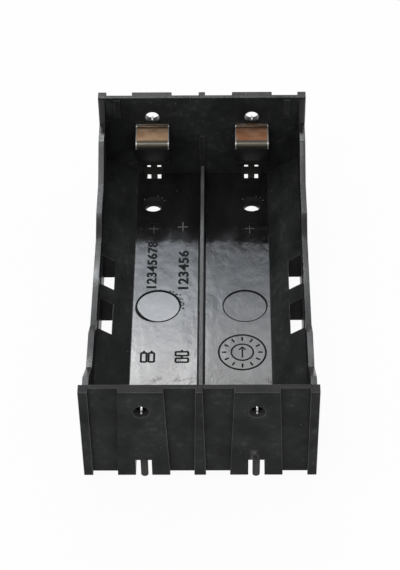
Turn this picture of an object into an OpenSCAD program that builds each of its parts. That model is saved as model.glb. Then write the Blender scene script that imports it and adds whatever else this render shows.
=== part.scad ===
// Two-bay holder for 18650 cells, with a leaf contact and a board pin at each end of each bay.
// X runs across the bays, Y along the cells and Z up. The origin is the middle of the seating
// plane, which is the flat underside of the tray. The pins reach below it, through the board.

/* [Tray] */
// Overall length, over the raised pads on the end walls
tray_l = 77.7; // [74:0.1:90]
// Overall width, over the corner posts
tray_w = 40.2; // [39.8:0.1:46]
// Overall height of the end walls
tray_h = 21.5; // [20:0.1:26]
// Thickness of the floor
floor_t = 2; // [1.4:0.1:3]
// Thickness of the long side walls
side_t = 1.1; // [0.8:0.05:1.4]
// How far the side walls lie inside the corner posts
side_inset = 0.15; // [0.05:0.05:0.4]
// Thickness of the end walls between their pads
end_t = 0.85; // [0.7:0.05:1.2]

/* [Bays] */
// Distance between the axes of the two cells
bay_pitch = 19.4; // [19:0.1:20]
// Width of the flat strip of floor under each cell
flat_w = 12.1; // [8:0.1:13]
// Height of the foot of the side wall, where the sloping cradle ends
cradle_h = 6.2; // [5:0.1:8]
// Width of the top of the ridge between the bays
ridge_top_w = 0.76; // [0.5:0.02:1]
// Width of the foot of that ridge
ridge_foot_w = 1.5; // [1.1:0.1:2]
// Height of the ridge above the floor
ridge_h = 2.2; // [1:0.1:4]

/* [Side walls] */
// Height of the low middle of the side wall, where fingers lift the cells out
dip_h = 8.6; // [7:0.1:10]
// Length of that low middle
dip_l = 22.2; // [18:0.2:24]
// Height of the shoulders on either side of it
shoulder_h = 11.2; // [10.2:0.1:13]
// Length of the ramp from the dip up to a shoulder
dip_ramp_l = 4.3; // [2.5:0.1:6]
// Distance from the end wall's inner face to the foot of the shoulder's outer slope
slope_foot = 13.3; // [11:0.1:15]
// Distance from the end wall's inner face to the top of that slope
slope_top = 6.65; // [5:0.05:8]
// Height of the top of that slope
slope_h = 16.1; // [13.2:0.1:16.2]
// Height where the side wall meets its steep corner gusset
gusset_foot_h = 16.4; // [16.3:0.1:18]
// Length of the corner gusset along the side wall
gusset_l = 1.65; // [1:0.05:3]
// Height of the top of the corner gusset, at the end wall
gusset_top_h = 21; // [19:0.1:21.5]

/* [End walls] */
// How far the pads, the posts and the middle rib stand out from the end wall
pad_proud = 0.95; // [0.5:0.05:1.5]
// Width of a pad at its foot
pad_foot_w = 9.1; // [8:0.1:11]
// Width of a pad at its top
pad_top_w = 7.7; // [6:0.1:7.9]
// Width of the middle rib at its foot
rib_foot_w = 2.05; // [1.5:0.05:3]
// Width of the middle rib at its top
rib_top_w = 1.25; // [0.8:0.05:1.4]
// Width of a corner post
post_w = 1.6; // [1.2:0.1:2.4]
// Diameter of the hole that the contact's barb passes through
barb_hole_d = 2.76; // [2.2:0.02:3.2]
// Height of that hole's centre
barb_hole_z = 16.5; // [15:0.1:18]
// Width of the inner stiffening ribs
inner_rib_w = 1.2; // [0.8:0.1:1.4]
// How far the inner stiffening ribs stand in from the wall
inner_rib_proud = 0.35; // [0.2:0.05:0.6]
// Height of the top of the middle one
inner_rib_h = 12; // [8:0.5:14]
// Distance of each outer inner rib from the middle of the wall
outer_rib_x = 16.45; // [15:0.05:17]
// Length of the outer ones
outer_rib_l = 4.6; // [3:0.1:6]
// Distance of their top ends below the top of the wall
outer_rib_drop = 0.4; // [0.2:0.1:1]

/* [Floor openings] */
// Width of the slot that a pin passes through
slot_w = 2.8; // [2.2:0.1:3.6]
// Reach of the slot inwards from the end wall's inner face
slot_in = 1.5; // [1:0.05:3]
// Height of the slot's notch through the end wall
notch_h = 4.1; // [3.6:0.1:5]
// Diameter of a mounting screw hole
screw_d = 2.95; // [2:0.05:3.5]
// Diameter of the countersink at the floor's upper face
screw_head_d = 4.2; // [3.6:0.1:5.6]
// Thickness of the floor left under the countersink
screw_seat_t = 0.8; // [0.5:0.05:1.2]
// Distance between the mounting screw holes along the tray
screw_pitch = 55.9; // [40:0.1:58]
// Width of a side window
window_w = 2.3; // [1.5:0.05:3]
// Distance of a side window from the side wall
window_inset = 0.2; // [0.05:0.05:0.5]
// Length of a side window
window_l = 7.6; // [5:0.1:9]
// Distance between the two windows of one side
window_gap = 3.8; // [2:0.1:6]
// Diameter of the round moulding mark in each bay
mark_d = 8.2; // [6:0.1:10]
// Depth of that mark
mark_depth = 0.15; // [0.1:0.05:0.4]
// Distance of the mark from the middle of the tray
mark_x = 8.1; // [7.6:0.1:8.4]

/* [Contacts] */
// Thickness of the contact strip
strip_t = 0.35; // [0.25:0.01:0.45]
// Width of the contact strip
strip_w = 6.5; // [5:0.1:8]
// How far the nose of the contact stands in from the end wall
nose_reach = 4.75; // [4:0.05:5.4]
// Radius of the nose, at the middle of the strip
nose_r = 0.9; // [0.6:0.05:1.1]
// How far the nose's sharp corner would stand out past its round
nose_trim = 0.3; // [0.2:0.05:0.5]
// Slope of the shelf above the nose, in degrees
shelf_angle = 15; // [8:1:25]
// Height of the lip's top edge
lip_h = 15.1; // [14.4:0.1:15.1]
// Height where the leaf leaves the end wall
root_h = 5.6; // [5.2:0.1:6.4]
// Radius of the bend at the root
root_r = 1.2; // [0.6:0.1:1.6]
// Radius of the bend under the lip
lip_r = 0.5; // [0.3:0.05:0.6]
// Width of the tongue above the lip
tongue_w = 2.4; // [1.6:0.1:2.7]
// How far the tongue reaches above the lip
tongue_up = 0.8; // [0.5:0.05:0.9]
// Reach of the tongue's barb out through the end wall
barb_out = 1.3; // [0.8:0.05:1.7]
// Height of the barb
barb_h = 0.65; // [0.4:0.05:0.7]
// Clearance under the barb, above the foot of its hole
barb_clear = 0.12; // [0.05:0.01:0.3]
// Width of a board pin
pin_w = 1.3; // [0.8:0.05:1.8]
// Length of a board pin below the seating plane
pin_drop = 2.5; // [2:0.1:4]
// Width of the shoulders that rest on the floor
shoulder_w = 4; // [3.8:0.1:6]
// Height of those shoulders
shoulder_up = 1.8; // [1:0.1:2]
// Height above the floor at which the full width of the leaf begins
leaf_up = 2.7; // [2.4:0.1:2.9]

/* [Hidden] */
$fn = 64;
over = 1;                                       // how far a cutter runs past what it cuts
end_y = tray_l / 2;                             // outer face of the pads
sheet_y = end_y - pad_proud;                    // outer face of the end wall
bay_y = sheet_y - end_t;                        // inner face of the end wall
cell_x = bay_pitch / 2;                         // axis of a cell
side_x = tray_w / 2 - side_inset;               // outer face of a side wall
bay_x = side_x - side_t;                        // inner face of a side wall
flat_x = ridge_foot_w / 2 + flat_w;             // outer edge of the flat floor
barb_hole_r = barb_hole_d / 2;
barb_z = barb_hole_z - barb_hole_r + barb_clear; // underside of the barb
mid_end_y = bay_y + end_t / 2;                  // middle of the end wall, where its ribs are rooted
bend_steps = 10;                                // steps in each bend of the strip

// ---------------------------------------------------------------- outlines

// Section across the tray: floor, ridge, sloping cradles and side walls.
module tray_section() {
    polygon([
        [-side_x, 0], [side_x, 0], [side_x, tray_h], [bay_x, tray_h],
        [bay_x, cradle_h], [flat_x, floor_t],
        [ridge_foot_w / 2, floor_t], [ridge_top_w / 2, floor_t + ridge_h],
        [-ridge_top_w / 2, floor_t + ridge_h], [-ridge_foot_w / 2, floor_t],
        [-flat_x, floor_t], [-bay_x, cradle_h],
        [-bay_x, tray_h], [-side_x, tray_h]
    ]);
}

// One half of the side wall's top edge, from the middle of the tray to the end.
function half_edge() = [
    [dip_l / 2, dip_h],
    [dip_l / 2 + dip_ramp_l, shoulder_h],
    [bay_y - slope_foot, shoulder_h],
    [bay_y - slope_top, slope_h],
    [bay_y - gusset_l, gusset_foot_h],
    [bay_y, gusset_top_h],
    [sheet_y, gusset_top_h]
];

// Outline of the long side, seen along X.
module side_outline() {
    edge = half_edge();
    last = len(edge) - 1;
    polygon(concat(
        [[sheet_y, 0], [-sheet_y, 0]],
        [for (i = [last:-1:0]) [-edge[i][0], edge[i][1]]],
        edge
    ));
}

// A rib that narrows upwards, drawn on the end wall.
module tapered_face(x, foot_w, top_w) {
    polygon([
        [x - foot_w / 2, 0], [x + foot_w / 2, 0],
        [x + top_w / 2, tray_h], [x - top_w / 2, tray_h]
    ]);
}

// ---------------------------------------------------------------- tray

// Turns a drawing in X and Z into a slab from y0 to y1.
module slab(y0, y1) {
    translate([0, y1, 0]) rotate([90, 0, 0]) linear_extrude(y1 - y0) children();
}

// Floor, cradles, ridge and side walls, cut to the outline of the long side.
module trough() {
    intersection() {
        slab(-sheet_y, sheet_y) tray_section();
        translate([-tray_w / 2, 0, 0]) rotate([90, 0, 90]) linear_extrude(tray_w) side_outline();
    }
}

// End wall at +Y, with its pads, posts and ribs.
module end_wall() {
    slab(bay_y, sheet_y)
        translate([-tray_w / 2, 0]) square([tray_w, tray_h]);
    for (side = [-1, 1]) {
        slab(mid_end_y, end_y)
            tapered_face(side * cell_x, pad_foot_w, pad_top_w);
        slab(mid_end_y, end_y)
            translate([side * (tray_w - post_w) / 2 - post_w / 2, 0]) square([post_w, tray_h]);
        slab(bay_y - inner_rib_proud, mid_end_y)
            translate([side * outer_rib_x - inner_rib_w / 2, tray_h - outer_rib_drop - outer_rib_l])
                square([inner_rib_w, outer_rib_l]);
    }
    slab(mid_end_y, end_y)
        tapered_face(0, rib_foot_w, rib_top_w);
    slab(bay_y - inner_rib_proud, mid_end_y)
        inner_rib_face();
}

// Middle rib on the inside of the end wall, with a round top.
module inner_rib_face() {
    straight_h = inner_rib_h - inner_rib_w / 2;
    translate([-inner_rib_w / 2, 0]) square([inner_rib_w, straight_h]);
    translate([0, straight_h]) circle(d = inner_rib_w);
}

// Slot through the floor for the pin, with its notch through the end wall at +Y.
module pin_slot(x) {
    translate([x - slot_w / 2, bay_y - slot_in, -over])
        cube([slot_w, slot_in + end_t + pad_proud + over, floor_t + over]);
    translate([x - slot_w / 2, bay_y, -over])
        cube([slot_w, end_t + pad_proud + over, notch_h + over]);
}

// Countersunk hole for a mounting screw.
module screw_hole(x) {
    sink_h = floor_t - screw_seat_t;
    sink_rate = (screw_head_d - screw_d) / sink_h;
    translate([x, screw_pitch / 2, 0]) {
        translate([0, 0, -over]) cylinder(d = screw_d, h = floor_t + over);
        translate([0, 0, screw_seat_t])
            cylinder(d1 = screw_d, d2 = screw_head_d + sink_rate * over, h = sink_h + over);
    }
}

// Round hole through the end wall at +Y for the contact's barb.
module barb_hole(x) {
    translate([x, bay_y - over, barb_hole_z])
        rotate([-90, 0, 0]) cylinder(d = barb_hole_d, h = end_t + pad_proud + 2 * over);
}

// Window at the foot of a side wall, open through the underside.
module side_window(side, y) {
    x0 = side > 0 ? bay_x - window_inset - window_w : window_inset - bay_x;
    translate([x0, y - window_l / 2, -over])
        cube([window_w, window_l, cradle_h + 2 * over]);
}

module cell_tray() {
    color([0.11, 0.11, 0.12])
    difference() {
        union() {
            trough();
            end_wall();
            rotate([0, 0, 180]) end_wall();
        }
        for (turn = [0, 180], side = [-1, 1])
            rotate([0, 0, turn]) {
                pin_slot(side * cell_x);
                barb_hole(side * cell_x);
                side_window(side, (window_l + window_gap) / 2);
                screw_hole(side * cell_x);
            }
        for (side = [-1, 1])
            translate([side * mark_x, 0, floor_t - mark_depth])
                cylinder(d = mark_d, h = mark_depth + over);
    }
}

// ---------------------------------------------------------------- contacts

// Unit vector from p to q, and the turn to its left.
function unit(p, q) = (q - p) / norm(q - p);
function left(d) = [-d[1], d[0]];

// Points and headings along a bend of radius r at corner b, between a and c.
function bend(a, b, c, r) =
    let (
        u = unit(a, b),
        w = unit(b, c),
        turn = atan2(u[0] * w[1] - u[1] * w[0], u * w),
        s = sign(turn),
        start = b - u * r * tan(abs(turn) / 2),
        centre = start + left(u) * r * s
    )
    [for (i = [0:bend_steps])
        let (a2 = turn * i / bend_steps)
        [centre + rotate2(start - centre, a2), rotate2(u, a2)]];

function rotate2(p, a) = [p[0] * cos(a) - p[1] * sin(a), p[0] * sin(a) + p[1] * cos(a)];

// Closed outline of a strip of thickness t that follows stations of [point, heading].
function strip_outline(stations, t) = concat(
    [for (s = stations) s[0] + left(s[1]) * t / 2],
    [for (i = [len(stations) - 1:-1:0]) stations[i][0] - left(stations[i][1]) * t / 2]
);

// Side view of the leaf: x is the distance in from the end wall and y the height.
mid = strip_t / 2;
shelf_root = [mid, lip_h - lip_r];
nose_x = nose_reach + nose_trim;                // corner that the nose rounds off
nose_corner = [nose_x, shelf_root[1] - (nose_x - mid) * tan(shelf_angle)];
leaf_root = [mid, root_h];
leaf_foot = [mid, floor_t + leaf_up];
leaf_top = [mid, lip_h];
leaf_stations = concat(
    [[leaf_foot, [0, 1]]],
    bend(leaf_foot, leaf_root, nose_corner, root_r),
    bend(leaf_root, nose_corner, shelf_root, nose_r),
    bend(nose_corner, shelf_root, leaf_top, lip_r),
    [[leaf_top, [0, 1]]]
);

// A flat plate of the strip against the end wall, from z0 to z1.
module plate(w, z0, z1) {
    translate([-w / 2, -strip_t, z0]) cube([w, strip_t, z1 - z0]);
}

// Pin with a rounded tip.
module pin() {
    plate(pin_w, -pin_drop + pin_w / 2, floor_t + leaf_up);
    translate([0, 0, -pin_drop + pin_w / 2])
        rotate([90, 0, 0]) cylinder(d = pin_w, h = strip_t);
}

// One contact, for the end wall at +Y: its back lies in the plane Y = 0 and its axis is X = 0.
module contact() {
    color([0.72, 0.48, 0.36])
    union() {
        translate([strip_w / 2, 0, 0]) rotate([90, 0, -90])
            linear_extrude(strip_w) polygon(strip_outline(leaf_stations, strip_t));
        pin();
        plate(shoulder_w, floor_t, floor_t + shoulder_up);
        plate(tongue_w, lip_h, lip_h + tongue_up);
        translate([-strip_t / 2, -strip_t, barb_z]) cube([strip_t, strip_t + barb_out, barb_h]);
    }
}

// Seats a contact against the inner face of an end wall.
module seated_contact(side, end) {
    rotate([0, 0, end > 0 ? 0 : 180])
        translate([side * end * cell_x, bay_y, 0]) contact();
}

module contact_front_left() {
    seated_contact(-1, -1);
}

module contact_front_right() {
    seated_contact(1, -1);
}

module contact_rear_left() {
    seated_contact(-1, 1);
}

module contact_rear_right() {
    seated_contact(1, 1);
}

cell_tray();
contact_front_left();
contact_front_right();
contact_rear_left();
contact_rear_right();
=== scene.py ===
"""Two-bay holder for 18650 cells: finishes, moulded marks, floor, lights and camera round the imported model.

Sizes are in millimetres unless a name says otherwise, and go into Blender through MM.
"""

import math
import random

import bpy
from mathutils import Matrix, Vector


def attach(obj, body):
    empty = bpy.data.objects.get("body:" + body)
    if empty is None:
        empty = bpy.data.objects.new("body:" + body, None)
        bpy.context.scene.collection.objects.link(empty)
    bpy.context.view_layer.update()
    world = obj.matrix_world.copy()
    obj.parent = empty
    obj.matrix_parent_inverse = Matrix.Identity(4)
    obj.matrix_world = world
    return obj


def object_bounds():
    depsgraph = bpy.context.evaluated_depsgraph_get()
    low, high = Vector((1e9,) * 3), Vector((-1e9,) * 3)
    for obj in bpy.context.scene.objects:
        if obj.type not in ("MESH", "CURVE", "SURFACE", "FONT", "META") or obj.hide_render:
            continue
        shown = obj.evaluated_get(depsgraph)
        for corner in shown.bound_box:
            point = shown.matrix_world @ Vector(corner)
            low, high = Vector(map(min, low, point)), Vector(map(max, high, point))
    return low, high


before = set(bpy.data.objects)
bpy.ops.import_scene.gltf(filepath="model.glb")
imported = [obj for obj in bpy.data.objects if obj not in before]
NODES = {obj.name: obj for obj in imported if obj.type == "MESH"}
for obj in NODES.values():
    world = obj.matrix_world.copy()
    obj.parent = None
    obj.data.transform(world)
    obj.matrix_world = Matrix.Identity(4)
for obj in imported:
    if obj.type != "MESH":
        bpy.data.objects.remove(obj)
bpy.context.view_layer.update()
CAD_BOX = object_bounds()

MM = 0.001
TRAY = NODES["cell_tray"]
CONTACTS = [NODES[name] for name in sorted(NODES) if name.startswith("contact_")]

# Places on the tray and its contacts, as part.scad has them
FLOOR_Z = 2.0
MARK_X = 8.1
MARK_R = 4.1
MARK_DEPTH = 0.15
FLAT_X = 12.85
BAY_X = 18.85
BAY_Y = 37.05
PAD_Y = 38.85
CELL_X = 9.7
CRADLE_H = 6.2
HOLE_Y = 27.95
LIP_H = 15.1

# Order of the tray's materials
ON_WALLS, ON_FLOOR, ON_TOPS, ON_LEFT_MARK, ON_EDGES, ON_RIDGE, ON_FRONT_TOP = range(7)

# Middles of the small rings at the far end, each round a pale cross that is a painted reflection of a contact
SMALL_RINGS_X = (-9.4, 9.2)

# Beads of the moulded marks: steps over a bead and round a ring, and rise as a share of half the width
ARC_STEPS = 6
RING_STEPS = 72
BEAD_RISE = 0.6

# Light card, in its own plane: lower and upper edge, half its width, and the slant of its lower edge
CARD_LOW = -105
CARD_HIGH = -16
CARD_HALF_W = 150
CARD_TILT = 20


# ---------------------------------------------------------------- node helpers

def new_material(name):
    material = bpy.data.materials.new(name)
    material.use_nodes = True
    material.node_tree.nodes.clear()
    return material


class Graph:
    """Short names for building a node tree."""

    def __init__(self, tree):
        self.tree = tree

    def node(self, kind, **settings):
        made = self.tree.nodes.new(kind)
        for key, value in settings.items():
            setattr(made, key, value)
        return made

    def join(self, source, socket):
        """Links a socket to another, or sets a value on it."""
        if isinstance(source, bpy.types.NodeSocket):
            self.tree.links.new(source, socket)
        else:
            socket.default_value = source

    def math(self, operation, a, b=0.0, clamp=False):
        made = self.node("ShaderNodeMath", operation=operation, use_clamp=clamp)
        self.join(a, made.inputs[0])
        self.join(b, made.inputs[1])
        return made.outputs[0]

    def scaled(self, coords, scale, turn=(0, 0, 0)):
        made = self.node("ShaderNodeMapping")
        self.join(coords, made.inputs["Vector"])
        made.inputs["Rotation"].default_value = [math.radians(a) for a in turn]
        made.inputs["Scale"].default_value = scale
        return made.outputs[0]

    def noise(self, coords, detail):
        made = self.node("ShaderNodeTexNoise")
        self.join(coords, made.inputs["Vector"])
        made.inputs["Scale"].default_value = 1.0
        made.inputs["Detail"].default_value = detail
        return made.outputs["Fac"]

    def ramp(self, value, low, high, to_low=0.0, to_high=1.0):
        made = self.node("ShaderNodeMapRange")
        self.join(value, made.inputs["Value"])
        made.inputs["From Min"].default_value = low
        made.inputs["From Max"].default_value = high
        made.inputs["To Min"].default_value = to_low
        made.inputs["To Max"].default_value = to_high
        return made.outputs[0]

    def mix(self, factor, a, b):
        made = self.node("ShaderNodeMix", data_type="RGBA")
        self.join(factor, made.inputs["Factor"])
        self.join(a, made.inputs["A"])
        self.join(b, made.inputs["B"])
        return made.outputs["Result"]

    def bump(self, height, strength, distance, normal=None):
        made = self.node("ShaderNodeBump")
        self.join(height, made.inputs["Height"])
        made.inputs["Strength"].default_value = strength
        made.inputs["Distance"].default_value = distance * MM
        if normal is not None:
            self.join(normal, made.inputs["Normal"])
        return made.outputs[0]


def per_mm(*rates):
    """Scale of a mapping that gives so many texture units to a millimetre."""
    return tuple(rate / MM for rate in rates)


# ---------------------------------------------------------------- materials

def hairlines(graph, coords, turn, reach, width):
    """Thin broken scratches, as the level lines of a noise drawn out along one direction."""
    drawn_out = graph.noise(graph.scaled(coords, per_mm(1.1, 0.06, 1.1), turn), detail=1.0)
    line = graph.math("COMPARE", drawn_out, 0.5)
    line.node.inputs[2].default_value = width
    patches = graph.noise(graph.scaled(coords, per_mm(0.13, 0.09, 0.13), turn), detail=1.0)
    return graph.math("MULTIPLY", line, graph.ramp(patches, reach, reach + 0.06))


def specks(graph, coords, spacing, size, share):
    """Small round grains of dust, on a share of the cells of a Voronoi pattern."""
    cells = graph.node("ShaderNodeTexVoronoi")
    graph.join(graph.scaled(coords, per_mm(*[1 / spacing] * 3)), cells.inputs["Vector"])
    cells.inputs["Scale"].default_value = 1.0
    near = graph.math("LESS_THAN", cells.outputs["Distance"], size / spacing)
    chosen = graph.node("ShaderNodeSeparateColor")
    graph.join(cells.outputs["Color"], chosen.inputs[0])
    few = graph.math("LESS_THAN", chosen.outputs[0], share)
    return graph.math("MULTIPLY", near, few)


def scuff(graph, coords):
    """Streaks on the outside of the front wall, over the front right pin."""
    middle_x = 9.35
    place = graph.node("ShaderNodeSeparateXYZ")
    graph.join(graph.scaled(coords, per_mm(1, 1, 1)), place.inputs[0])
    x, y, z = place.outputs
    aside = graph.math("ABSOLUTE", graph.math("SUBTRACT", x, middle_x))
    within = graph.math("MULTIPLY", graph.ramp(aside, 0.85, 0.55), graph.ramp(z, 3.9, 4.2))
    within = graph.math("MULTIPLY", within, graph.ramp(z, 6.9, 6.2))
    within = graph.math("MULTIPLY", within, graph.math("LESS_THAN", y, 0.35 - PAD_Y))
    streaks = graph.noise(graph.scaled(coords, per_mm(2.4, 1.0, 0.7), (0, 14, 0)), detail=3.0)
    return graph.math("MULTIPLY", within, graph.ramp(streaks, 0.42, 0.54))


def black_plastic(name, base, specular, rough, wave=0.0, grain=0.0, dust=0.0, scratch=0.0, haze=0.0,
                  scuffed=False):
    """Moulded black plastic.

    base is its colour and rough its least and greatest roughness. wave and grain are depths of its
    flow clouds and fine grain, in mm. dust, scratch and haze are shares from 0 to 1.
    """
    grey = (0.16, 0.16, 0.155, 1)
    hazy = (0.09, 0.09, 0.09, 1)
    torn = (0.085, 0.085, 0.08, 1)
    dark = tuple(base) + (1,)
    worn = tuple(c * 1.8 + 0.003 for c in base) + (1,)

    material = new_material(name)
    graph = Graph(material.node_tree)
    coords = graph.node("ShaderNodeTexCoord").outputs["Object"]
    shader = graph.node("ShaderNodeBsdfPrincipled")
    out = graph.node("ShaderNodeOutputMaterial")

    clouds = graph.noise(graph.scaled(coords, per_mm(0.22, 0.12, 0.22)), detail=4.0)
    ripple = graph.noise(graph.scaled(coords, per_mm(0.9, 0.6, 0.9), (0, 0, -20)), detail=3.0)
    fine = graph.noise(graph.scaled(coords, per_mm(3.0, 1.2, 3.0), (0, 0, 12)), detail=2.0)
    scratches = graph.math(
        "MAXIMUM",
        hairlines(graph, coords, turn=(0, 0, 7), reach=0.50, width=0.0030),
        hairlines(graph, coords, turn=(0, 0, -38), reach=0.54, width=0.0025),
    )
    grains = specks(graph, coords, spacing=1.7, size=0.10, share=dust)

    colour = graph.mix(graph.ramp(clouds, 0.35, 0.75), dark, worn)
    colour = graph.mix(graph.math("MULTIPLY", scratches, scratch), colour, grey)
    colour = graph.mix(grains, colour, grey)
    smudge = graph.math("MULTIPLY", graph.ramp(ripple, 0.52, 0.72), graph.ramp(clouds, 0.45, 0.6))
    colour = graph.mix(graph.math("MULTIPLY", smudge, haze), colour, hazy)
    if scuffed:
        colour = graph.mix(scuff(graph, coords), colour, torn)
    graph.join(colour, shader.inputs["Base Color"])

    roughness = graph.ramp(clouds, 0.3, 0.7, *rough)
    roughness = graph.math("ADD", roughness, graph.math("MULTIPLY", scratches, scratch))
    roughness = graph.math("ADD", roughness, graph.math("MULTIPLY", grains, 0.5), clamp=True)
    graph.join(roughness, shader.inputs["Roughness"])
    shader.inputs["Specular IOR Level"].default_value = specular

    normal = graph.bump(clouds, 1.0, wave)
    normal = graph.bump(ripple, 1.0, wave * 0.12, normal)
    normal = graph.bump(fine, 1.0, grain, normal)
    graph.join(normal, shader.inputs["Normal"])
    graph.join(shader.outputs[0], out.inputs["Surface"])
    return material


def contact_metal():
    """Plated spring strip: bronze shelf with painted light: silver painted highlights on its edges, lip and
    barb, painted dark reflections at its root, on its nose and on the leaf below, and painted shade on the
    tongue; the pin is dark as well.
    """
    bronze = ((0.56, 0.33, 0.19, 1), (0.74, 0.50, 0.33, 1))
    redder_bronze = ((0.44, 0.20, 0.11, 1), (0.58, 0.32, 0.20, 1))
    # Painted light over the bronze: dark reflections at the shelf's root, on the nose and on the leaf below
    # it (the pin gets that dark too), shade on the tongue, and silver highlights on the edges, lip and barb
    shelf_root_painted_reflection = (0.10, 0.07, 0.05, 1)
    nose_painted_reflection = (0.12, 0.11, 0.09, 1)
    below_nose_dark_and_painted_reflection = (0.02, 0.02, 0.018, 1)
    edge_painted_highlight = (0.46, 0.46, 0.44, 1)
    lip_painted_highlight = (0.44, 0.44, 0.42, 1)
    tongue_painted_shade = (0.045, 0.06, 0.062, 1)
    barb_painted_highlight = (0.66, 0.66, 0.64, 1)

    material = new_material("contact_strip")
    graph = Graph(material.node_tree)
    coords = graph.node("ShaderNodeTexCoord").outputs["Object"]
    shader = graph.node("ShaderNodeBsdfPrincipled")
    out = graph.node("ShaderNodeOutputMaterial")

    # Where on the strip: reach in from the end wall, distance from its middle plane, and height
    place = graph.node("ShaderNodeSeparateXYZ")
    graph.join(graph.scaled(coords, per_mm(1, 1, 1)), place.inputs[0])
    x, y, z = place.outputs
    reach = graph.math("SUBTRACT", BAY_Y, graph.math("ABSOLUTE", y))
    aside = graph.math("ABSOLUTE", graph.math("SUBTRACT", graph.math("ABSOLUTE", x), CELL_X))

    shelf_root = graph.ramp(reach, 1.2, 0.7)
    nose = graph.ramp(reach, 3.4, 3.9)
    below_nose = graph.ramp(z, 13.0, 12.7)
    side_edge = graph.math("MULTIPLY", graph.ramp(aside, 3.0, 3.06), graph.ramp(z, 12.2, 12.6))
    lip = graph.math("MULTIPLY", graph.ramp(z, LIP_H - 0.2, LIP_H - 0.15), graph.ramp(reach, 0.6, 0.5))
    tongue = graph.ramp(z, LIP_H + 0.1, LIP_H + 0.12)
    barb = graph.ramp(reach, -0.02, -0.06)

    stain = graph.noise(graph.scaled(coords, per_mm(0.4, 0.7, 0.4)), detail=1.5)
    stained = graph.ramp(stain, 0.35, 0.65)
    on_right = graph.math("GREATER_THAN", x, 0.0)
    colour = graph.mix(on_right, graph.mix(stained, *bronze), graph.mix(stained, *redder_bronze))
    # Painted dark reflections, painted highlights and painted shade laid over the bronze
    colour = graph.mix(shelf_root, colour, shelf_root_painted_reflection)
    colour = graph.mix(nose, colour, nose_painted_reflection)
    colour = graph.mix(below_nose, colour, below_nose_dark_and_painted_reflection)
    colour = graph.mix(side_edge, colour, edge_painted_highlight)
    colour = graph.mix(lip, colour, lip_painted_highlight)
    colour = graph.mix(tongue, colour, tongue_painted_shade)
    colour = graph.mix(barb, colour, barb_painted_highlight)
    graph.join(colour, shader.inputs["Base Color"])
    # Little metal below the nose, with the leaf's painted dark reflection
    graph.join(graph.ramp(below_nose, 0, 1, 1.0, 0.1), shader.inputs["Metallic"])

    brushed = graph.noise(graph.scaled(coords, per_mm(0.5, 9.0, 0.5)), detail=2.0)
    rough = graph.ramp(brushed, 0.3, 0.7, 0.26, 0.38)
    rough = graph.math("ADD", rough, graph.math("MULTIPLY", below_nose, 0.25), clamp=True)
    graph.join(rough, shader.inputs["Roughness"])
    graph.join(shader.outputs[0], out.inputs["Surface"])
    return material


def floor_paper(shadow_share):
    """Paper that looks white, directly and in mirrors, and keeps a share of its shadows."""
    material = new_material("floor_paper")
    graph = Graph(material.node_tree)
    paper = graph.node("ShaderNodeBsdfDiffuse")
    paper.inputs["Color"].default_value = (0.92, 0.92, 0.92, 1)
    white = graph.node("ShaderNodeEmission")
    white.inputs["Strength"].default_value = 1.0
    rays = graph.node("ShaderNodeLightPath")
    seen = graph.math("MAXIMUM", rays.outputs["Is Camera Ray"], rays.outputs["Is Glossy Ray"])
    seen = graph.math("MAXIMUM", seen, rays.outputs["Is Transmission Ray"])
    blend = graph.node("ShaderNodeMixShader")
    graph.join(graph.math("MULTIPLY", seen, 1 - shadow_share), blend.inputs[0])
    graph.join(paper.outputs[0], blend.inputs[1])
    graph.join(white.outputs[0], blend.inputs[2])
    out = graph.node("ShaderNodeOutputMaterial")
    graph.join(blend.outputs[0], out.inputs["Surface"])
    return material


# ---------------------------------------------------------------- edges of the CAD nodes

def edge_group(name, least_angle):
    """Geometry nodes that mark outward edges for the bevel, but not the rims at the bays' floor."""
    rims_middle = 0.7 * FLOOR_Z
    rims_half = 0.4 * FLOOR_Z
    tree = bpy.data.node_groups.new(name, "GeometryNodeTree")
    tree.interface.new_socket("Geometry", in_out="INPUT", socket_type="NodeSocketGeometry")
    tree.interface.new_socket("Geometry", in_out="OUTPUT", socket_type="NodeSocketGeometry")
    graph = Graph(tree)
    start = graph.node("NodeGroupInput")
    end = graph.node("NodeGroupOutput")
    angle = graph.node("GeometryNodeInputMeshEdgeAngle").outputs["Signed Angle"]
    compare = graph.node("FunctionNodeCompare", data_type="FLOAT", operation="GREATER_THAN")
    graph.join(angle, compare.inputs["A"])
    compare.inputs["B"].default_value = math.radians(least_angle)
    place = graph.node("ShaderNodeSeparateXYZ")
    graph.join(graph.node("GeometryNodeInputPosition").outputs[0], place.inputs[0])
    from_rims = graph.math("SUBTRACT", place.outputs[2], rims_middle * MM)
    away = graph.math("GREATER_THAN", graph.math("ABSOLUTE", from_rims), rims_half * MM)
    chosen = graph.math("MULTIPLY", compare.outputs[0], away)
    store = graph.node("GeometryNodeStoreNamedAttribute", data_type="FLOAT", domain="EDGE")
    store.inputs["Name"].default_value = "bevel_weight_edge"
    graph.join(start.outputs[0], store.inputs["Geometry"])
    graph.join(chosen, store.inputs["Selection"])
    store.inputs["Value"].default_value = 1.0
    graph.join(store.outputs[0], end.inputs[0])
    return tree


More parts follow.
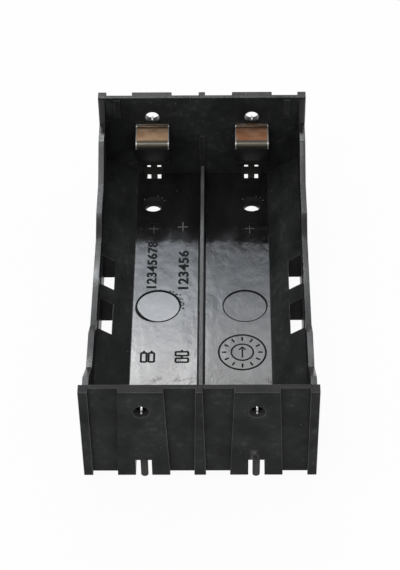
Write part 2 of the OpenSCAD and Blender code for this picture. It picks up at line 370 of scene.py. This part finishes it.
def smooth_group(name, sharp_angle):
    """Geometry nodes that shade the mesh smooth, apart from its sharp edges."""
    tree = bpy.data.node_groups.new(name, "GeometryNodeTree")
    tree.interface.new_socket("Geometry", in_out="INPUT", socket_type="NodeSocketGeometry")
    tree.interface.new_socket("Geometry", in_out="OUTPUT", socket_type="NodeSocketGeometry")
    graph = Graph(tree)
    start = graph.node("NodeGroupInput")
    end = graph.node("NodeGroupOutput")
    angle = graph.node("GeometryNodeInputMeshEdgeAngle").outputs["Unsigned Angle"]
    sharp = graph.node("FunctionNodeCompare", data_type="FLOAT", operation="GREATER_THAN")
    graph.join(angle, sharp.inputs["A"])
    sharp.inputs["B"].default_value = math.radians(sharp_angle)
    faces = graph.node("GeometryNodeSetShadeSmooth", domain="FACE")
    faces.inputs["Shade Smooth"].default_value = True
    edges = graph.node("GeometryNodeSetShadeSmooth", domain="EDGE")
    edges.inputs["Shade Smooth"].default_value = False
    graph.join(start.outputs[0], faces.inputs["Geometry"])
    graph.join(faces.outputs[0], edges.inputs["Geometry"])
    graph.join(sharp.outputs[0], edges.inputs["Selection"])
    graph.join(edges.outputs[0], end.inputs[0])
    return tree


OUTER_EDGES = edge_group("outer_edges", least_angle=25)
SMOOTH = smooth_group("smooth_shading", sharp_angle=32)


def soften_edges(piece, width, edge_material=-1):
    """Rounds the outward edges of a CAD node with modifiers, and leaves its own mesh alone."""
    for name in ("custom_normal", "sharp_face", "sharp_edge"):
        attribute = piece.data.attributes.get(name)
        if attribute is not None:
            piece.data.attributes.remove(attribute)
    weld = piece.modifiers.new("weld", "WELD")
    weld.merge_threshold = 0.001 * MM
    flat = piece.modifiers.new("flat_faces", "DECIMATE")
    flat.decimate_type = "DISSOLVE"
    flat.angle_limit = math.radians(0.5)
    marked = piece.modifiers.new("outer_edges", "NODES")
    marked.node_group = OUTER_EDGES
    bevel = piece.modifiers.new("edge_radius", "BEVEL")
    bevel.limit_method = "WEIGHT"
    bevel.width = width * MM
    bevel.segments = 2
    bevel.material = edge_material
    bevel.use_clamp_overlap = False
    smooth = piece.modifiers.new("smooth_shading", "NODES")
    smooth.node_group = SMOOTH
    level = piece.modifiers.new("flat_shading_of_flats", "WEIGHTED_NORMAL")
    level.mode = "FACE_AREA"
    level.weight = 100
    level.keep_sharp = True


# ---------------------------------------------------------------- moulded marks

def link_piece(name, mesh, material):
    """Adds a mesh as a piece of the tray."""
    mesh.materials.clear()
    mesh.materials.append(material)
    piece = bpy.data.objects.new(name, mesh)
    bpy.context.scene.collection.objects.link(piece)
    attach(piece, "root")


class Beads:
    """Collects rounded beads and rings on the floor of the bays into one mesh."""

    def __init__(self):
        self.corners = []
        self.faces = []

    def run(self, points, half_widths, base_z, closed=False):
        """Sweeps a half-round bead along points, which lie at the height base_z or have their own."""
        first = len(self.corners)
        count = len(points)
        for i, point in enumerate(points):
            before = points[i - 1] if closed or i > 0 else points[i]
            after = points[(i + 1) % count] if closed or i < count - 1 else points[i]
            along = Vector((after[0] - before[0], after[1] - before[1])).normalized()
            height = point[2] if len(point) > 2 else base_z
            for k in range(ARC_STEPS + 1):
                angle = math.pi * k / ARC_STEPS
                out = half_widths[i] * math.cos(angle)
                up = half_widths[i] * BEAD_RISE * math.sin(angle)
                self.corners.append((
                    (point[0] - along.y * out) * MM,
                    (point[1] + along.x * out) * MM,
                    (height + up) * MM,
                ))
        ring = ARC_STEPS + 1
        for i in range(count if closed else count - 1):
            here = first + i * ring
            there = first + (i + 1) % count * ring
            for k in range(ARC_STEPS):
                self.faces.append((here + k, here + k + 1, there + k + 1, there + k))

    def line(self, start, end, half_width, base_z=FLOOR_Z):
        self.run([start, end], [half_width] * 2, base_z)

    def ring(self, centre, radius, half_width, swell=0.0, swell_at=0.0, base_z=FLOOR_Z):
        """A circle whose bead gets thicker by the share swell towards one direction."""
        points = []
        widths = []
        for i in range(RING_STEPS):
            turn = math.tau * i / RING_STEPS
            points.append((centre[0] + radius * math.cos(turn), centre[1] + radius * math.sin(turn)))
            near = max(0.0, math.cos(turn - math.radians(swell_at))) ** 6
            widths.append(half_width * (1 + swell * near))
        self.run(points, widths, base_z, closed=True)

    def box(self, centre, width, length, half_width):
        x0 = centre[0] - width / 2
        x1 = centre[0] + width / 2
        y0 = centre[1] - length / 2
        y1 = centre[1] + length / 2
        corners = [(x0, y0), (x1, y0), (x1, y1), (x0, y1)]
        for i, corner in enumerate(corners):
            self.line(corner, corners[(i + 1) % 4], half_width)

    def mesh(self, name):
        mesh = bpy.data.meshes.new(name)
        mesh.from_pydata(self.corners, [], self.faces)
        mesh.shade_smooth()
        return mesh


def add_text(name, body, size, stretch, centre, turn, material):
    """Raised figures on the floor of a bay, with the middle of their box at a point."""
    curve = bpy.data.curves.new(name, "FONT")
    curve.body = body
    curve.size = size * MM
    curve.align_x = "CENTER"
    curve.align_y = "CENTER"
    curve.space_character = 1.1
    curve.offset = 0.035 * MM
    curve.extrude = 0.02 * MM
    curve.bevel_depth = 0.05 * MM
    curve.bevel_resolution = 1
    shaped = bpy.data.objects.new(name, curve)
    bpy.context.scene.collection.objects.link(shaped)
    bpy.context.view_layer.update()
    depsgraph = bpy.context.evaluated_depsgraph_get()
    mesh = bpy.data.meshes.new_from_object(shaped.evaluated_get(depsgraph))
    bpy.data.objects.remove(shaped)
    mesh.transform(Matrix.Scale(stretch, 4, (1, 0, 0)))
    mesh.transform(Matrix.Rotation(math.radians(turn), 4, "Z"))
    xs = [corner.co.x for corner in mesh.vertices]
    ys = [corner.co.y for corner in mesh.vertices]
    middle = Vector((max(xs) + min(xs), max(ys) + min(ys), 0)) / 2
    mesh.transform(Matrix.Translation(Vector((*centre, FLOOR_Z)) * MM - middle))
    mesh.name = name
    link_piece(name, mesh, material)


def add_mark_rings(material):
    """The lip round each ejector mark, and the crumbs of flash beside the left one."""
    crumbs = 16
    beads = Beads()
    beads.ring((-MARK_X, 0), MARK_R, 0.13, swell=1.6, swell_at=215)
    beads.ring((-MARK_X, 0), MARK_R + 0.02, 0.10, swell=1.0, swell_at=15)
    beads.ring((MARK_X, 0), MARK_R, 0.10, swell=0.6, swell_at=20)
    chance = random.Random(7)
    for _ in range(crumbs):
        turn = math.radians(chance.uniform(-10, 62))
        away = MARK_R + chance.uniform(0.25, 0.9)
        half = chance.uniform(0.08, 0.17)
        x = -MARK_X + away * math.cos(turn)
        y = away * math.sin(turn)
        beads.line((x - half, y), (x + half, y + chance.uniform(-0.1, 0.1)), half)
    link_piece("ejector_mark_rims", beads.mesh("ejector_mark_rims"), material)


def add_hole_rim_painted_highlights(material):
    """Pale beads just outside the rim of each screw hole at the far end: painted highlights on the rim."""
    highlight_r = 2.3
    highlight_reach = Vector((0.2, 0.1))
    beads = Beads()
    for x in (-CELL_X, CELL_X):
        for degrees, half in ((25, 0.16), (48, 0.12), (70, 0.10), (145, 0.15)):
            turn = math.radians(degrees)
            spot = Vector((x + highlight_r * math.cos(turn), HOLE_Y + highlight_r * math.sin(turn)))
            beads.line(spot, spot + highlight_reach, half)
    link_piece("screw_hole_painted_highlights", beads.mesh("screw_hole_painted_highlights"), material)


def add_cell_signs(material):
    """Two small drawings in outline: two cells side by side, and two cells end to end."""
    wall = 0.19
    cap = 0.22
    beads = Beads()

    width = 1.0
    length = 2.2
    y = -13.05
    for x in (-10.45, -9.05):
        beads.box((x, y), width, length, wall)
        beads.line((x, y + length / 2), (x, y + length / 2 + 0.45), cap)

    width = 2.3
    length = 0.95
    x = -3.5
    for y in (-13.75, -12.15):
        beads.box((x, y), width, length, wall)
        beads.line((x, y + 0.47), (x, y + 0.85), cap)
    link_piece("cell_signs", beads.mesh("cell_signs"), material)


def add_date_dial(material):
    """Plain moulding dial: two rings, twelve ticks and an arrow."""
    centre = Vector((7.5, -11.8))
    ticks = 12
    beads = Beads()
    beads.ring(centre, 4.3, 0.18)
    beads.ring(centre, 2.0, 0.16)
    for i in range(ticks):
        turn = math.tau * i / ticks
        way = Vector((math.cos(turn), math.sin(turn)))
        beads.line(centre + way * 2.9, centre + way * 3.7, 0.17)

    arrow = 0.14
    tip = centre + Vector((0, 1.3))
    beads.line(centre - Vector((0, 1.3)), tip, arrow)
    for side in (-1, 1):
        beads.line(centre + Vector((0.6 * side, 0.6)), tip, arrow)
    link_piece("date_dial", beads.mesh("date_dial"), material)


def add_polarity_sign_and_painted_reflections(material):
    """Plus sign at the far end of the left bay, and a smaller cross in the ring of each bay that is a painted
    reflection of the contact in the floor.
    """
    large = 0.13
    small = 0.07
    beads = Beads()
    beads.line((-4.7, 21.4), (-2.8, 21.4), large)
    beads.line((-3.75, 20.1), (-3.75, 22.7), large)
    # Painted reflection of each contact in the floor, drawn as a pale cross
    for x in SMALL_RINGS_X:
        beads.line((x, 19.5), (x, 21.7), small)
        beads.line((x - 0.9, 20.9), (x + 0.9, 20.9), small)
    link_piece("polarity_sign_and_painted_reflections", beads.mesh("polarity_sign_and_painted_reflections"), material)


def add_small_rings(material):
    """Rings round the painted reflections of the contacts at the far end of the bays."""
    beads = Beads()
    for x in SMALL_RINGS_X:
        beads.ring((x, 20.6), 1.95, 0.15)
    link_piece("small_rings", beads.mesh("small_rings"), material)


def add_parting_lines(material):
    """Fine raised lines: along the outer edges of the flat floors and across each cradle."""
    seam_y = 13.3
    seam_x = 17.05
    slope = (CRADLE_H - FLOOR_Z) / (BAY_X - FLAT_X)
    seam_z = FLOOR_Z + (seam_x - FLAT_X) * slope
    beads = Beads()
    for side in (-1, 1):
        beads.line((side * FLAT_X, -BAY_Y), (side * FLAT_X, BAY_Y), 0.07)
        across = [(side * seam_x, seam_y, seam_z), (side * BAY_X, seam_y, CRADLE_H)]
        beads.run(across, [0.08, 0.08], CRADLE_H)
    link_piece("parting_lines", beads.mesh("parting_lines"), material)


# ---------------------------------------------------------------- stage

def add_floor():
    """Square of paper under the pins' tips."""
    z = CAD_BOX[0].z
    half = 3000 * MM
    mesh = bpy.data.meshes.new("studio_floor")
    corners = [(-half, -half, z), (half, -half, z), (half, half, z), (-half, half, z)]
    mesh.from_pydata(corners, [], [(0, 1, 2, 3)])
    piece = bpy.data.objects.new("studio_floor", mesh)
    bpy.context.scene.collection.objects.link(piece)
    mesh.materials.append(floor_paper(shadow_share=0.05))


def aim(thing, place, target):
    thing.location = place
    thing.rotation_euler = (target - place).to_track_quat("-Z", "Y").to_euler()


def add_softbox(name, azimuth, elevation, distance, width, height, radiance):
    """Area lamp round the holder: azimuth from +Y towards +X, and distance from the middle."""
    data = bpy.data.lights.new(name, "AREA")
    data.shape = "RECTANGLE"
    data.size = width * MM
    data.size_y = height * MM
    data.energy = radiance * math.pi * data.size * data.size_y
    lamp = bpy.data.objects.new(name, data)
    bpy.context.scene.collection.objects.link(lamp)
    a = math.radians(azimuth)
    e = math.radians(elevation)
    direction = Vector((math.sin(a) * math.cos(e), math.cos(a) * math.cos(e), math.sin(e)))
    aim(lamp, direction * distance * MM, Vector((0, 0, 0)))
    lamp.visible_camera = False


def card_light():
    """Light of the rear card: dimmer and bluer at its lower edge, dim on its right half."""
    low_radiance = 3.2
    high_radiance = 13.0
    fade_h = 75
    fade_power = 1.4
    right_share = 0.55
    left_gain = 0.5
    material = new_material("card_light")
    graph = Graph(material.node_tree)
    place = graph.node("ShaderNodeSeparateXYZ")
    coords = graph.node("ShaderNodeTexCoord").outputs["Object"]
    graph.join(graph.scaled(coords, per_mm(1, 1, 1)), place.inputs[0])
    across, up, _ = place.outputs
    rise = graph.math("POWER", graph.ramp(up, CARD_LOW, CARD_LOW + fade_h), fade_power)
    side = graph.ramp(across, 3, 14, right_share, 1.0)
    side = graph.math("ADD", side, graph.ramp(across, 50, 66, 0.0, left_gain))
    radiance = graph.math("MULTIPLY", graph.ramp(rise, 0, 1, low_radiance, high_radiance), side)
    shine = graph.node("ShaderNodeEmission")
    graph.join(graph.mix(rise, (0.92, 1.0, 1.10, 1), (1, 1, 1, 1)), shine.inputs["Color"])
    graph.join(radiance, shine.inputs["Strength"])
    out = graph.node("ShaderNodeOutputMaterial")
    graph.join(shine.outputs[0], out.inputs["Surface"])
    return material


def add_light_card(elevation, distance):
    """Glowing card behind the holder, which its polished floor reflects."""
    corners = [
        (-CARD_HALF_W, CARD_LOW + CARD_TILT),
        (CARD_HALF_W, CARD_LOW - CARD_TILT),
        (CARD_HALF_W, CARD_HIGH),
        (-CARD_HALF_W, CARD_HIGH),
    ]
    mesh = bpy.data.meshes.new("light_card")
    mesh.from_pydata([(x * MM, y * MM, 0) for x, y in corners], [], [(0, 1, 2, 3)])
    mesh.materials.append(card_light())
    card = bpy.data.objects.new("light_card", mesh)
    bpy.context.scene.collection.objects.link(card)
    e = math.radians(elevation)
    aim(card, Vector((0, math.cos(e), math.sin(e))) * distance * MM, Vector((0, 0, 0)))
    card.visible_camera = False


def add_world(strength):
    world = bpy.data.worlds.new("studio")
    world.use_nodes = True
    background = world.node_tree.nodes["Background"]
    background.inputs["Color"].default_value = (1, 1, 1, 1)
    background.inputs["Strength"].default_value = strength
    bpy.context.scene.world = world


def add_camera():
    """Long lens in front of the holder and above it, a little to its right."""
    target = Vector((-0.232, 0, 7.517))
    distance = 349.721
    azimuth = math.radians(1.060)
    elevation = math.radians(45.234)
    roll = math.radians(-0.927)
    data = bpy.data.cameras.new("camera")
    data.sensor_width = 36
    data.lens = 119.62
    back = Vector((
        math.sin(azimuth) * math.cos(elevation),
        -math.cos(azimuth) * math.cos(elevation),
        math.sin(elevation),
    ))
    level = Vector((math.cos(azimuth), math.sin(azimuth), 0))
    upright = back.cross(level)
    right = level * math.cos(roll) + upright * math.sin(roll)
    up = upright * math.cos(roll) - level * math.sin(roll)
    place = (target + back * distance) * MM
    camera = bpy.data.objects.new("camera", data)
    bpy.context.scene.collection.objects.link(camera)
    camera.matrix_world = Matrix.Translation(place) @ Matrix((right, up, back)).transposed().to_4x4()
    data.clip_start = 10 * MM
    data.clip_end = 20000 * MM
    bpy.context.scene.camera = camera


# ---------------------------------------------------------------- the holder

def tray_finish(face):
    """Which of the tray's materials a face gets, by its place and the way it faces."""
    centre = face.center / MM
    faces_up = face.normal.z > 0.9
    at_floor = FLOOR_Z - 2 * MARK_DEPTH < centre.z < FLOOR_Z + MARK_DEPTH
    if faces_up and at_floor and abs(centre.x) < FLAT_X:
        sunk = centre.z < FLOOR_Z - MARK_DEPTH / 2
        return ON_LEFT_MARK if sunk and centre.x < 0 else ON_FLOOR
    if faces_up and abs(centre.x) < 1 and CRADLE_H > centre.z > FLOOR_Z:
        return ON_RIDGE
    if face.normal.z < 0.3 or centre.z < CRADLE_H + 0.1:
        return ON_WALLS
    return ON_FRONT_TOP if centre.y < -BAY_Y else ON_TOPS


WALLS = black_plastic(
    "tray_walls", base=(0.0165, 0.0172, 0.0175), specular=0.05, rough=(0.24, 0.36),
    wave=0.02, grain=0.006, dust=0.13, scratch=0.15, haze=0.35, scuffed=True)
POLISH = black_plastic(
    "bay_floor", base=(0.008, 0.008, 0.0085), specular=0.5, rough=(0.05, 0.13),
    wave=0.07, grain=0.0011, dust=0.04, scratch=0.08)
RUBBED = black_plastic(
    "rubbed_tops", base=(0.012, 0.012, 0.012), specular=0.5, rough=(0.14, 0.38),
    wave=0.02, grain=0.01, dust=0.05, scratch=0.1)
MOULDED = black_plastic(
    "moulded_marks", base=(0.006, 0.006, 0.0065), specular=0.15, rough=(0.45, 0.55))
BRIGHT = black_plastic(
    "bright_mark", base=(0.010, 0.010, 0.0105), specular=0.64, rough=(0.05, 0.09),
    wave=0.03, grain=0.0006, dust=0.03, scratch=0.06)
# Lighter colour on the tray's rounded edges: painted edge highlights
EDGE_PAINTED_HIGHLIGHT = black_plastic(
    "edges_painted_highlight", base=(0.036, 0.036, 0.037), specular=0.4, rough=(0.22, 0.32))
# Lighter base colour than the rest of the tray: painted sheen, on the ridge top and the small pieces drawn in
# it
RIDGE_PAINTED_SHEEN = black_plastic(
    "ridge_top_painted_sheen", base=(0.08, 0.08, 0.082), specular=0.5, rough=(0.36, 0.44), grain=0.012)
DULL = black_plastic(
    "dull_top", base=(0.026, 0.026, 0.027), specular=0.08, rough=(0.30, 0.42),
    wave=0.02, grain=0.01, dust=0.05, scratch=0.1)
FINISHES = {
    ON_WALLS: WALLS,
    ON_FLOOR: POLISH,
    ON_TOPS: RUBBED,
    ON_LEFT_MARK: BRIGHT,
    ON_EDGES: EDGE_PAINTED_HIGHLIGHT,
    ON_RIDGE: RIDGE_PAINTED_SHEEN,
    ON_FRONT_TOP: DULL,
}

TRAY.data.materials.clear()
for index in sorted(FINISHES):
    TRAY.data.materials.append(FINISHES[index])
for face in TRAY.data.polygons:
    face.material_index = tray_finish(face)
# Bevels of the tray take the lighter edge material: painted edge highlights
soften_edges(TRAY, width=0.09, edge_material=ON_EDGES)

strip = contact_metal()
for contact in CONTACTS:
    contact.data.materials.clear()
    contact.data.materials.append(strip)
    soften_edges(contact, width=0.05)

add_mark_rings(MOULDED)
add_text("numbers_outer", "12345678", size=2.5, stretch=1.21, centre=(-9.5, 11.0), turn=90, material=MOULDED)
add_text("numbers_inner", "123456", size=2.6, stretch=1.3, centre=(-3.5, 9.6), turn=90, material=MOULDED)
# Painted highlights on the screw hole rims, in the ridge material
add_hole_rim_painted_highlights(RIDGE_PAINTED_SHEEN)
add_cell_signs(MOULDED)
add_date_dial(MOULDED)
# Polarity sign and the painted reflections of the contacts, in the ridge material with its painted sheen
add_polarity_sign_and_painted_reflections(RIDGE_PAINTED_SHEEN)
add_small_rings(MOULDED)
add_parting_lines(RUBBED)

add_floor()
add_world(strength=0.6)
add_light_card(elevation=51.5, distance=700)
add_softbox(
    "top_softbox", azimuth=-150, elevation=65, distance=900, width=500, height=400, radiance=3)
add_camera()

scene = bpy.context.scene
scene.view_settings.view_transform = "Standard"
bpy.context.view_layer.update()
